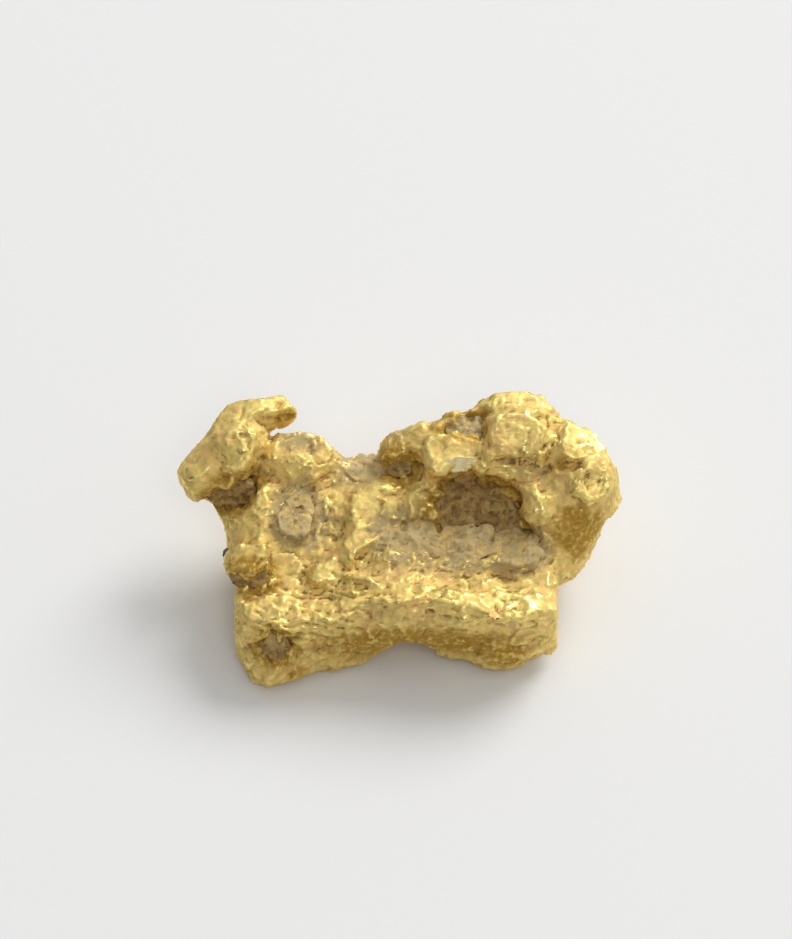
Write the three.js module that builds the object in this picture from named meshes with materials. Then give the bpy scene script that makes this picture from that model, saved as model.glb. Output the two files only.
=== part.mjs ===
// A natural gold nugget with the minerals that are still lodged in its hollows.
// Millimetres. +X runs along the longest side, +Y to the back and +Z up. The origin is on the
// ground, under the middle of the nugget's box.
//
// The gold is one body of rounded lobes that have grown together. It is written as a distance
// field: how far a point is from the surface, below zero inside. Each mineral is a lump that
// fills a hollow and stays one named clearance off the gold.
import * as THREE from "three";
import { MarchingCubes } from "three/addons/objects/MarchingCubes.js";
import { ImprovedNoise } from "three/addons/math/ImprovedNoise.js";

// Overall box of the gold
const LENGTH = 7.0;
const DEPTH = 4.2;
const HEIGHT = 2.75;

// Fits and wear
const MINERAL_CLEARANCE = 0.06; // from a mineral's face to the gold around it
const FOOT_WEAR = 0.1; // how much of each foot is worn flat
const GROWTH_BLEND = 0.22; // how softly two lobes run into each other
const HOLLOW_EDGE = 0.07; // how softly a hollow's rim is rounded

// Hollows: how deep each one is
const MAIN_PIT_DEPTH = 0.62;
const UPPER_HOLLOW_DEPTH = 0.3;
const POCKET_DEPTH = 0.26;
const HORN_HOLLOW_DEPTH = 0.34;
const FOOT_PIT_DEPTH = 0.3;
const LEFT_GAP_DEPTH = 0.26;
const GROOVE_DEPTH = 0.38;
const ARCH_HEIGHT = 0.62;
const BELLY_DEPTH = 0.3;

// Minerals that sit on the gold
const PATCH_THICKNESS = 0.14;
const GRAIN_RADIUS = 0.15;

// Ledge and feet: the radius of each
const CREST_RADIUS = 0.26;
const FRONT_LEFT_FOOT = 0.38;
const FRONT_RIGHT_FOOT = 0.5;
const BACK_FOOT = 0.45;

// Surface roughness of the gold
const LUMP_HEIGHT = 0.07;
const LUMP_SPACING = 0.62;

// Fineness of the surface meshes
const GOLD_CELL = 0.13;
const GOLD_CELLS = 64;
const MINERAL_CELLS = 16; // across the box of one mineral

const noise = new ImprovedNoise();

// ---------------------------------------------------------------- distances

function length(x, y, z) {
  return Math.sqrt(x * x + y * y + z * z);
}

function blend(a, b, soft) {
  const h = Math.max(soft - Math.abs(a - b), 0) / soft;
  return Math.min(a, b) - (h * h * soft) / 4;
}

function grow(distances, soft = GROWTH_BLEND) {
  return distances.reduce((all, next) => blend(all, next, soft));
}

function carve(body, hollow, soft = HOLLOW_EDGE) {
  return -blend(-body, hollow, soft);
}

// A lump: an ellipsoid, turned about Z by `turn` degrees, then raised at its +X end by `rise`.
function lump(p, [cx, cy, cz], [rx, ry, rz], turn = 0, rise = 0) {
  const t = THREE.MathUtils.degToRad(turn);
  const r = THREE.MathUtils.degToRad(rise);
  const dx = p.x - cx;
  const dy = p.y - cy;
  const dz = p.z - cz;
  const ax = dx * Math.cos(t) + dy * Math.sin(t);
  const y = dy * Math.cos(t) - dx * Math.sin(t);
  const x = ax * Math.cos(r) + dz * Math.sin(r);
  const z = dz * Math.cos(r) - ax * Math.sin(r);
  const k0 = length(x / rx, y / ry, z / rz);
  const k1 = length(x / (rx * rx), y / (ry * ry), z / (rz * rz));
  return k1 > 1e-9 ? (k0 * (k0 - 1)) / k1 : -Math.min(rx, ry, rz);
}

// A finger: a straight rod from a to b whose radius goes from ra to rb.
function finger(p, a, b, ra, rb) {
  const ux = b[0] - a[0];
  const uy = b[1] - a[1];
  const uz = b[2] - a[2];
  const dx = p.x - a[0];
  const dy = p.y - a[1];
  const dz = p.z - a[2];
  const along = (dx * ux + dy * uy + dz * uz) / (ux * ux + uy * uy + uz * uz);
  const t = THREE.MathUtils.clamp(along, 0, 1);
  return length(dx - ux * t, dy - uy * t, dz - uz * t) - (ra + (rb - ra) * t);
}

// A slab: a box with rounded edges, leaning forward about X by `lean` degrees.
function slab(p, [cx, cy, cz], [hx, hy, hz], round, lean = 0, turn = 0) {
  const t = THREE.MathUtils.degToRad(turn);
  const r = THREE.MathUtils.degToRad(lean);
  const dx = p.x - cx;
  const dy = p.y - cy;
  const dz = p.z - cz;
  const x = dx * Math.cos(t) + dy * Math.sin(t);
  const ay = dy * Math.cos(t) - dx * Math.sin(t);
  const y = ay * Math.cos(r) - dz * Math.sin(r);
  const z = dz * Math.cos(r) + ay * Math.sin(r);
  const qx = Math.abs(x) - hx + round;
  const qy = Math.abs(y) - hy + round;
  const qz = Math.abs(z) - hz + round;
  const outside = length(Math.max(qx, 0), Math.max(qy, 0), Math.max(qz, 0));
  return outside + Math.min(Math.max(qx, qy, qz), 0) - round;
}

// ---------------------------------------------------------------- the gold

// The horn at the back left: a thick raised wedge that overhangs the flank below it.
function horn(p) {
  return grow([
    finger(p, [-3.1, 1.16, 1.74], [-2.45, 1.78, 2.1], 0.37, 0.4),
    slab(p, [-2.55, 1.42, 2.12], [0.3, 0.3, 0.32], 0.12, 12, 38),
    finger(p, [-2.3, 1.96, 2.2], [-1.92, 2.13, 2.22], 0.33, 0.23),
    finger(p, [-1.92, 2.13, 2.22], [-1.78, 2.1, 2.12], 0.22, 0.2),
  ], 0.12);
}

// The neck joins the horn to the middle of the nugget.
function neck(p) {
  return grow([
    finger(p, [-2.5, 1.12, 1.4], [-1.8, 0.75, 1.0], 0.5, 0.72),
    lump(p, [-1.5, 1.42, 1.6], [0.55, 0.46, 0.5], 10),
    lump(p, [-2.02, 1.5, 1.68], [0.4, 0.34, 0.36]),
    lump(p, [-2.0, 0.3, 0.85], [0.66, 0.85, 0.68]),
    slab(p, [-2.3, -0.28, 1.3], [0.22, 0.24, 0.2], 0.08, 20, 8),
  ]);
}

// The middle: the low saddle at the back and the warm, sloping field in front of it.
function middle(p) {
  return grow([
    lump(p, [-0.62, 1.25, 1.25], [0.95, 0.5, 0.55]),
    lump(p, [-0.5, 0.3, 0.9], [1.5, 0.95, 0.62]),
    finger(p, [-1.3, 0.7, 1.25], [-0.3, 0.85, 1.35], 0.38, 0.42),
    lump(p, [-0.35, 0.8, 1.42], [0.5, 0.42, 0.36], -20),
  ]);
}

// The right lobe: the highest and heaviest part, a ring of knobs around the main pit.
function rightLobe(p) {
  return grow([
    lump(p, [1.7, 1.0, 1.3], [1.45, 1.15, 0.95]),
    lump(p, [1.82, 1.88, 2.22], [0.7, 0.46, 0.48], 4),
    lump(p, [0.95, 1.66, 2.08], [0.62, 0.36, 0.42], 16),
    lump(p, [2.6, 1.3, 2.08], [0.52, 0.58, 0.5], -35),
    lump(p, [2.93, 0.88, 1.75], [0.55, 0.6, 0.56]),
    lump(p, [2.58, 0.48, 1.3], [0.58, 0.58, 0.66]),
    finger(p, [-0.02, 1.5, 1.88], [0.5, 1.55, 2.0], 0.3, 0.36),
    finger(p, [0.1, 1.05, 1.2], [0.9, 1.25, 1.4], 0.55, 0.6),
    slab(p, [1.0, 1.18, 2.1], [0.52, 0.3, 0.28], 0.1, 25, 3),
    slab(p, [1.85, 1.5, 2.4], [0.36, 0.36, 0.3], 0.14, 20, -8),
    finger(p, [2.35, 0.3, 1.0], [1.5, 0.05, 0.95], 0.6, 0.6),
  ], 0.16);
}

// The line of the ledge's crest, from left to right.
const crest = [
  [-2.3, -0.95, 0.98],
  [-1.5, -1.18, 0.92],
  [-0.5, -1.08, 1.08],
  [0.15, -1.02, 1.2],
  [1.1, -1.2, 1.22],
  [2.0, -1.14, 1.14],
];

// The front ledge: a wavy crest with a steep wall under it, and a flatter top behind it.
function ledge(p) {
  return grow([
    slab(p, [-1.34, -0.8, 0.58], [1.16, 0.58, 0.54], 0.16, -10, 2),
    slab(p, [1.04, -0.8, 0.74], [1.42, 0.56, 0.6], 0.2, -2, 2),
    lump(p, [-0.1, -0.72, 1.0], [0.9, 0.55, 0.46]),
    ...crest.slice(1).map((end, i) => finger(p, crest[i], end, CREST_RADIUS, CREST_RADIUS)),
  ], 0.14);
}

// Three feet carry the nugget: two in front with an arch between them, one at the back.
function feet(p) {
  const left = FRONT_LEFT_FOOT - FOOT_WEAR;
  const right = FRONT_RIGHT_FOOT - FOOT_WEAR;
  const back = BACK_FOOT - FOOT_WEAR;
  return grow([
    finger(p, [-1.85, -1.1, 0.62], [-1.95, -1.44, left], 0.42, FRONT_LEFT_FOOT),
    finger(p, [-1.8, -1.4, 0.3], [-0.8, -1.2, 0.3], 0.3, 0.26),
    finger(p, [1.5, -0.85, 0.6], [1.62, -1.05, right], 0.52, FRONT_RIGHT_FOOT),
    finger(p, [0.1, 1.0, 0.8], [0.05, 1.15, back], 0.6, BACK_FOOT),
  ], 0.15);
}

// Every lobe grown together, before the hollows are carved.
function grownGold(p) {
  return grow([horn(p), neck(p), middle(p), rightLobe(p), ledge(p), feet(p)]);
}

// Hollows, each a lump that is cut out of the gold.
const hollows = {
  mainPit: (p) => grow([
    lump(p, [1.12, 0.6, 1.85], [0.74, 0.44, MAIN_PIT_DEPTH], -6),
    lump(p, [1.75, 0.42, 1.75], [0.42, 0.36, MAIN_PIT_DEPTH * 0.8], -20),
  ], 0.1),
  upperHollow: (p) => lump(p, [1.05, 1.58, 2.5], [0.4, 0.2, UPPER_HOLLOW_DEPTH], 10),
  pocket: (p) => lump(p, [0.04, 1.2, 2.0], [0.2, 0.18, POCKET_DEPTH]),
  hornHollow: (p) => lump(p, [-2.62, 0.86, 1.6], [0.5, HORN_HOLLOW_DEPTH, 0.26], 25),
  leftGap: (p) => lump(p, [-2.25, -0.56, 1.45], [0.3, 0.1, LEFT_GAP_DEPTH], 6),
  footPit: (p) => lump(p, [-1.86, -1.55, 0.76], [0.22, FOOT_PIT_DEPTH, 0.2]),
  groove: (p) => slab(p, [0.9, 0.04, 1.7], [1.3, 0.4, GROOVE_DEPTH], 0.24, 0, -4),
  arch: (p) => lump(p, [0.08, -1.35, 0.0], [0.58, 0.95, ARCH_HEIGHT]),
  belly: (p) => lump(p, [0.0, -0.1, 0.0], [1.7, 0.85, BELLY_DEPTH]),
  saddleSeat: saddlePatch,
  flankSeat: flankPatch,
  blockSeat: blockPatch,
  grainSeat: sandGrain,
};

// Four minerals stick to the gold in a seat of their own shape.
function saddlePatch(p) {
  return lump(p, [-0.5, 1.36, 1.7], [0.34, 0.26, PATCH_THICKNESS], 8);
}

function flankPatch(p) {
  return lump(p, [-1.55, 0.5, 1.6], [0.22, 0.38, PATCH_THICKNESS], -12);
}

function blockPatch(p) {
  return lump(p, [1.0, 0.96, 2.3], [0.26, 0.16, PATCH_THICKNESS], 4);
}

function sandGrain(p) {
  return lump(p, [-2.56, 0.04, 1.12], [GRAIN_RADIUS, GRAIN_RADIUS * 1.3, GRAIN_RADIUS], 30);
}

// The uneven skin: broad dimples and lumps, the same everywhere on the gold.
function skin(p) {
  const s = LUMP_SPACING;
  const broad = noise.noise(p.x / s, p.y / s, p.z / s);
  const fine = noise.noise((2.1 * p.x) / s + 7, (2.1 * p.y) / s, (2.1 * p.z) / s);
  return LUMP_HEIGHT * (broad + 0.5 * fine);
}

function gold(p) {
  const carved = Object.values(hollows).reduce((body, hollow) => carve(body, hollow(p)), grownGold(p));
  return Math.max(carved + skin(p), -p.z);
}

// ---------------------------------------------------------------- surfaces

const SNAP = 0.06; // share of a cell that the surface keeps away from the grid's corners

// Turns a distance field into a closed mesh over a cube of `cells` cells each way.
function surface(distance, centre, cells, cell) {
  const cubes = new MarchingCubes(cells, new THREE.Material(), false, false, 40000);
  cubes.isolation = 0;
  const p = new THREE.Vector3();
  for (let k = 0; k < cells; k += 1) {
    for (let j = 0; j < cells; j += 1) {
      for (let i = 0; i < cells; i += 1) {
        p.set(i - cells / 2, j - cells / 2, k - cells / 2).multiplyScalar(cell).add(centre);
        const share = THREE.MathUtils.clamp(distance(p) / cell, -1, 1);
        const kept = Math.max(Math.abs(share), SNAP) * (share < 0 ? 1 : -1);
        cubes.field[k * cells * cells + j * cells + i] = kept;
      }
    }
  }
  cubes.update();
  const used = cubes.geometry.drawRange.count;
  const geometry = new THREE.BufferGeometry();
  const position = cubes.positionArray.slice(0, used * 3);
  geometry.setAttribute("position", new THREE.BufferAttribute(position, 3));
  geometry.scale((cells * cell) / 2, (cells * cell) / 2, (cells * cell) / 2);
  geometry.translate(centre.x, centre.y, centre.z);
  geometry.computeVertexNormals();
  return geometry;
}

// ---------------------------------------------------------------- the minerals

// A mineral fills its lump as far as the gold allows: it stops one clearance short of it.
function lodged(fill) {
  return (p) => Math.max(fill(p), MINERAL_CLEARANCE - gold(p));
}

const DARK_IRONSTONE = { color: 0x4a3418, roughness: 0.85, metalness: 0.0 };
const GREY_IRONSTONE = { color: 0x6f6448, roughness: 0.8, metalness: 0.0 };
const PACKED_CLAY = { color: 0xa3946a, roughness: 0.9, metalness: 0.0 };
const QUARTZ = { color: 0xd8d2b8, roughness: 0.3, metalness: 0.0 };
const MAGNETITE = { color: 0x24211c, roughness: 0.45, metalness: 0.3 };

// Each mineral: its name, its look, the middle and reach of its lump, and the lump itself.
const minerals = [
  ["ironstone_main_pit", DARK_IRONSTONE, [1.35, 0.7, 1.4], 1.0, (p) => grow([
    lump(p, [1.12, 0.84, 1.42], [0.85, 0.5, 0.42], -6),
    lump(p, [1.75, 0.56, 1.3], [0.45, 0.42, 0.38], -20),
  ], 0.15)],
  ["ironstone_upper_hollow", GREY_IRONSTONE, [1.05, 1.58, 2.3], 0.45, (p) =>
    lump(p, [1.05, 1.58, 2.28], [0.42, 0.24, 0.2], 10)],
  ["ironstone_pocket", DARK_IRONSTONE, [0.04, 1.22, 1.88], 0.25, (p) =>
    lump(p, [0.04, 1.22, 1.86], [0.22, 0.2, 0.2])],
  ["ironstone_under_horn", DARK_IRONSTONE, [-2.58, 1.0, 1.5], 0.55, (p) =>
    lump(p, [-2.54, 1.1, 1.56], [0.46, 0.3, 0.24], 25)],
  ["ironstone_left_gap", DARK_IRONSTONE, [-2.25, -0.56, 1.3], 0.34, (p) =>
    lump(p, [-2.25, -0.56, 1.3], [0.32, 0.14, 0.2], 6)],
  ["ironstone_foot_pit", DARK_IRONSTONE, [-1.86, -1.46, 0.74], 0.28, (p) =>
    lump(p, [-1.86, -1.42, 0.74], [0.24, 0.22, 0.2])],
  ["clay_groove_left", PACKED_CLAY, [0.12, 0.08, 1.4], 0.54, (p) =>
    lump(p, [0.12, 0.08, 1.38], [0.5, 0.36, 0.2], -4)],
  ["clay_groove_middle", PACKED_CLAY, [1.06, 0.02, 1.4], 0.42, (p) =>
    lump(p, [1.06, 0.02, 1.38], [0.38, 0.34, 0.2], -4)],
  ["clay_groove_right", PACKED_CLAY, [1.83, -0.04, 1.4], 0.4, (p) =>
    lump(p, [1.83, -0.04, 1.4], [0.33, 0.32, 0.22], -4)],
  ["clay_saddle", PACKED_CLAY, [-0.5, 1.36, 1.7], 0.38, saddlePatch],
  ["clay_left_flank", PACKED_CLAY, [-1.55, 0.5, 1.6], 0.42, flankPatch],
  ["quartz_on_block", QUARTZ, [1.0, 0.96, 2.3], 0.3, blockPatch],
  ["black_sand_grain", MAGNETITE, [-2.56, 0.04, 1.12], 0.24, sandGrain],
];

// ---------------------------------------------------------------- the nugget

function meshOf(name, look, geometry) {
  const mesh = new THREE.Mesh(geometry, new THREE.MeshStandardMaterial(look));
  mesh.name = name;
  return mesh;
}

const nugget = new THREE.Group();
const GOLD = { color: 0xd4a53a, roughness: 0.42, metalness: 1.0 };
const goldMiddle = new THREE.Vector3(0, 0.3, 1.45);
const goldMesh = meshOf("gold_body", GOLD, surface(gold, goldMiddle, GOLD_CELLS, GOLD_CELL));
nugget.add(goldMesh);
for (const [name, look, middle, reach, fill] of minerals) {
  const cell = (2 * reach) / (MINERAL_CELLS - 4);
  const geometry = surface(lodged(fill), new THREE.Vector3(...middle), MINERAL_CELLS, cell);
  nugget.add(meshOf(name, look, geometry));
}

// The whole nugget is brought to its overall box, standing on the ground at its middle.
goldMesh.geometry.computeBoundingBox();
const grown = goldMesh.geometry.boundingBox;
const size = grown.getSize(new THREE.Vector3());
const foot = grown.getCenter(new THREE.Vector3()).setZ(grown.min.z);
nugget.scale.set(LENGTH / size.x, DEPTH / size.y, HEIGHT / size.z);
nugget.position.copy(foot).multiply(nugget.scale).negate();

export default nugget;
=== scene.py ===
import math

import bpy
import numpy as np
from mathutils import Matrix, Vector, noise
from mathutils.bvhtree import BVHTree
from mathutils.kdtree import KDTree


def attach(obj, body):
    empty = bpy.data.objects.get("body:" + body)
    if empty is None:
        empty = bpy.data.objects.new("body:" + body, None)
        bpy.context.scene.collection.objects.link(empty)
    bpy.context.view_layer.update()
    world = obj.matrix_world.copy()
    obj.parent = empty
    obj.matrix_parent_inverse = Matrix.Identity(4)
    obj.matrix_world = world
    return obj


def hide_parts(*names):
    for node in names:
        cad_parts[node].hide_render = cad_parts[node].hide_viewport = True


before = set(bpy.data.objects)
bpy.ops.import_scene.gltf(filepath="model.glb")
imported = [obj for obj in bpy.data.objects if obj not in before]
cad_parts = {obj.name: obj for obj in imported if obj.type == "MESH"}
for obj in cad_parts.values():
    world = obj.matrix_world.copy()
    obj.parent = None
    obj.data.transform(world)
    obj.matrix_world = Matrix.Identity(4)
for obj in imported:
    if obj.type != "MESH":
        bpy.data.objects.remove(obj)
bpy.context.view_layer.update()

# ---------------------------------------------------------------- the gold: its body
# One continuous piece of native gold, grown in a vein and then knocked about in a stream bed.
# The CAD body has its lobes and hollows. The same body is meshed finely here and sculpted, in
# millimetres, with the blocks, ridges, folds and torn grain of the real surface.

MM = 0.001
GOLD_MESH_SPACING = 0.031
SMOOTHING_ROUNDS = 14  # enough to take away the CAD body's triangles


def working_copy(name, node):
    """A copy of a CAD node's mesh as a new object, in millimetres."""
    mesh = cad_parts[node].data.copy()
    mesh.name = name
    mesh.materials.clear()
    mesh.transform(Matrix.Scale(1 / MM, 4))
    obj = bpy.data.objects.new(name, mesh)
    bpy.context.scene.collection.objects.link(obj)
    return obj


def even_mesh(obj, spacing, rounds):
    """Meshes the piece again with even, fine faces, and smooths facets away."""
    remesh = obj.modifiers.new("even mesh", "REMESH")
    remesh.mode = "VOXEL"
    remesh.voxel_size = spacing
    soften = obj.modifiers.new("no facets", "SMOOTH")
    soften.factor = 0.5
    soften.iterations = rounds
    graph = bpy.context.evaluated_depsgraph_get()
    obj.data = bpy.data.meshes.new_from_object(obj.evaluated_get(graph))
    obj.modifiers.clear()
    obj.data.name = obj.name


def read_points(mesh):
    """The mesh's points as an array, one row each."""
    co = np.empty(len(mesh.vertices) * 3, np.float32)
    mesh.vertices.foreach_get("co", co)
    return co.reshape(-1, 3).astype(float)


def read_normals(mesh):
    """The way the mesh faces at each point."""
    no = np.empty(len(mesh.vertices) * 3, np.float32)
    mesh.vertex_normals.foreach_get("vector", no)
    return no.reshape(-1, 3).astype(float)


def write_points(mesh, points):
    mesh.vertices.foreach_set("co", points.astype(np.float32).ravel())
    mesh.update()


def push_out(mesh, height):
    """Moves each point of the mesh out along its normal."""
    write_points(mesh, read_points(mesh) + read_normals(mesh) * height[:, None])


def ramp(value, low, high):
    """0 below low, 1 above high, and a smooth rise between."""
    t = np.clip((value - low) / (high - low), 0.0, 1.0)
    return t * t * (3.0 - 2.0 * t)


def inside(points, middle, reach):
    """1 at the middle of an ellipsoid, falling evenly to 0 at its edge."""
    return np.clip(1.0 - np.linalg.norm((points - middle) / reach, axis=1), 0.0, 1.0)


def inside_box(points, middle, reach):
    """1 at the middle of a box, falling evenly to 0 at its faces."""
    return np.clip(1.0 - np.abs((points - middle) / reach).max(axis=1), 0.0, 1.0)


def beside_path(points, path):
    """How far each point is from a bent line, how far to the left of it, and how near its ends."""
    path = np.array(path, float)
    best = np.full(len(points), 1e9)
    side = np.zeros(len(points))
    to_end = np.linalg.norm(points - path[0], axis=1)
    to_end = np.minimum(to_end, np.linalg.norm(points - path[-1], axis=1))
    for a, b in zip(path[:-1], path[1:]):
        along = np.clip(((points - a) @ (b - a)) / ((b - a) @ (b - a)), 0.0, 1.0)
        off = points - a - along[:, None] * (b - a)
        distance = np.linalg.norm(off, axis=1)
        left = (b - a)[0] * (points - a)[:, 1] - (b - a)[1] * (points - a)[:, 0]
        left /= np.linalg.norm((b - a)[:2])
        side = np.where(distance < best, left, side)
        best = np.minimum(best, distance)
    return best, side, to_end


def off_path(points, path):
    """How far each point is from a bent line."""
    return beside_path(points, path)[0]


def per_point(points, value):
    """A number worked out at each point."""
    return np.array([value(Vector(p)) for p in points])


# The noise that bends the patterns starts from the clock unless it is given a number, so it is given
# one here, and the piece comes out the same each time.
NOISE_SEED = 4
noise.seed_set(NOISE_SEED)

gold = working_copy("nugget_gold", "gold_body")
even_mesh(gold, GOLD_MESH_SPACING, SMOOTHING_ROUNDS)

# Facets: gold that grew as crystals and broke is made of small flat faces, not of round lumps. The
# surface is split into irregular patches, each gives a plane, and every point is drawn most of the
# way onto the closest of the planes near it. The planes meet in crisp edges.
# For each: size of a facet, share of the way its points are drawn, the most that a point may move.
LARGE_FACETS = (0.55, 0.65, 0.04)
SMALL_FACETS = (0.27, 0.75, 0.03)
FACET_SPREAD = 0.7  # a patch whose normals average to less than this bends round an edge: no plane
FACET_TURN = 0.6  # a point isn't drawn onto a plane that faces further away than this
PLANES_NEAR = 4


def faceted(points, normals, size, pull, most):
    """The points, each drawn towards the closest of the planes near it."""
    def patch(p):
        bent = p / size + 0.3 * noise.noise_vector(p / (1.4 * size))
        return noise.voronoi(bent)[1][0]
    seeds = np.array([patch(Vector(p)) for p in points])
    patches, member = np.unique(np.round(seeds, 3), axis=0, return_inverse=True)
    member = member.ravel()
    count = np.bincount(member)
    middle = np.stack([np.bincount(member, points[:, i]) / count for i in range(3)], axis=1)
    facing = np.stack([np.bincount(member, normals[:, i]) / count for i in range(3)], axis=1)
    agree = np.linalg.norm(facing, axis=1)
    middle = middle[agree > FACET_SPREAD]
    facing = (facing / np.maximum(agree, 1e-6)[:, None])[agree > FACET_SPREAD]
    planes = KDTree(len(middle))
    for i, m in enumerate(middle):
        planes.insert(m, i)
    planes.balance()
    near = np.array([[hit[1] for hit in planes.find_n(p, PLANES_NEAR)] for p in points])
    height = ((points[:, None, :] - middle[near]) * facing[near]).sum(axis=2)
    turned = (normals[:, None, :] * facing[near]).sum(axis=2) < FACET_TURN
    height[turned] = np.inf
    best = np.abs(height).argmin(axis=1)
    rows = np.arange(len(points))
    moved = height[rows, best]
    moved = np.where(np.abs(moved) < 2.0 * most, np.clip(moved, -most, most), 0.0)
    return points - (pull * moved)[:, None] * facing[near[rows, best]]


write_points(gold.data, faceted(read_points(gold.data), read_normals(gold.data), *LARGE_FACETS))

# Flat-topped blocks of crystal: middle, reach, how proud each stands.
BLOCKS = (
    ((-2.45, 0.95, 2.3), (0.28, 0.26, 0.3), 0.1),  # on the horn's face
    ((-1.6, 1.35, 2.02), (0.42, 0.3, 0.3), 0.07),  # behind the neck
    ((-2.33, -0.55, 1.42), (0.3, 0.22, 0.26), 0.14),  # left of the ledge
    ((0.85, 0.8, 2.35), (0.62, 0.4, 0.22), 0.1),  # the lit block over the main pit
    ((1.82, 1.05, 2.65), (0.5, 0.42, 0.3), 0.08),  # the upper block
    ((2.95, 0.95, 2.45), (0.42, 0.34, 0.2), 0.08),  # the slanted plate at the right
    ((-1.18, -0.72, 1.25), (0.24, 0.2, 0.16), 0.07),  # one bright facet behind the ledge
    ((0.12, 1.3, 2.15), (0.34, 0.28, 0.26), 0.08),  # the left end of the right lobe
)
# Rounded knobs: middle, reach, how proud each stands.
KNOBS = (
    ((-0.25, 0.45, 1.75), (0.5, 0.5, 0.4), 0.12),  # the warm bulge in front of the saddle
    ((-0.7, 0.15, 1.65), (0.4, 0.4, 0.3), 0.07),
    ((0.6, 1.35, 2.42), (0.18, 0.18, 0.2), 0.06),
    ((0.85, 1.5, 2.45), (0.2, 0.16, 0.2), 0.06),
    ((0.45, -1.05, 1.42), (0.2, 0.18, 0.2), 0.08),  # the knot on the crest
    ((0.72, -1.3, 1.5), (0.24, 0.2, 0.2), 0.08),
    ((0.97, -1.25, 1.48), (0.2, 0.2, 0.2), 0.05),
    ((1.3, -1.0, 1.4), (0.16, 0.2, 0.16), 0.05),
    ((0.9, 0.4, 1.75), (0.24, 0.2, 0.3), 0.1),  # a lump of gold in the main pit
    ((1.95, 0.25, 2.0), (0.3, 0.3, 0.34), 0.1),  # three lumps that break the pit's rim
    ((2.05, 0.6, 2.15), (0.24, 0.2, 0.24), 0.08),
    ((0.55, 0.3, 1.62), (0.26, 0.24, 0.26), 0.1),
    ((2.12, 0.15, 1.75), (0.42, 0.4, 0.45), 0.26),
    ((1.3, 0.58, 2.15), (0.45, 0.22, 0.3), 0.16),
    ((-1.95, 1.0, 2.0), (0.2, 0.2, 0.2), 0.05),
    ((-1.99, -1.96, 0.5), (0.24, 0.2, 0.2), 0.05),
)
# Ridges: the line each one runs along, its half width, how proud it stands.
RIDGES = (
    (((-2.45, 1.5, 2.5), (-2.2, 1.62, 2.48), (-2.0, 1.6, 2.38)), 0.1, 0.07),  # the horn's upper fold
    (((-2.4, 1.25, 2.45), (-2.2, 1.3, 2.38), (-2.05, 1.38, 2.3)), 0.09, 0.06),  # its lower fold
    (((-2.45, 0.2, 1.55), (-2.25, 0.25, 1.66), (-2.05, 0.1, 1.62), (-2.2, -0.02, 1.52)), 0.07, 0.05),
    (((-1.43, 0.72, 1.72), (-1.3, 0.8, 1.82), (-1.05, 1.0, 1.85)), 0.09, 0.06),
    (((-1.15, 0.42, 1.66), (-1.08, 0.22, 1.62)), 0.08, 0.07),
    (((-1.22, 0.08, 1.52), (-1.34, -0.16, 1.44)), 0.08, 0.07),
    (((-0.95, -0.8, 1.3), (-0.6, -0.92, 1.4), (-0.3, -1.15, 1.42)), 0.08, 0.07),  # behind the crest
    (((-0.98, -1.08, 1.26), (-0.7, -1.14, 1.34)), 0.07, 0.06),
    (((-0.9, -1.36, 1.3), (-0.4, -1.38, 1.36), (0.0, -1.4, 1.44), (0.4, -1.45, 1.45)), 0.09, 0.07),
    (((-2.1, -1.5, 1.14), (-1.84, -1.58, 1.12), (-1.62, -1.66, 1.06)), 0.09, 0.08),
    (((-1.62, -1.52, 1.2), (-1.25, -1.56, 1.15), (-0.95, -1.56, 1.17)), 0.08, 0.06),
    (((-1.55, -1.72, 0.6), (-1.35, -1.76, 0.54)), 0.1, 0.07),
    (((0.42, -1.4, 1.46), (0.75, -1.5, 1.46), (1.15, -1.54, 1.48), (1.5, -1.62, 1.36)), 0.1, 0.07),
    (((1.46, -1.62, 1.38), (1.9, -1.6, 1.3), (2.2, -1.45, 1.34)), 0.1, 0.07),
    # the groove's lip
    (((-0.25, -0.52, 1.44), (0.6, -0.6, 1.34), (1.4, -0.62, 1.36), (2.1, -0.55, 1.36)), 0.26, 0.1),
    (((1.14, -0.78, 1.34), (1.3, -1.0, 1.38)), 0.06, 0.05),
    (((0.98, -0.7, 1.35), (1.05, -0.95, 1.38)), 0.06, 0.05),
)
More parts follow.
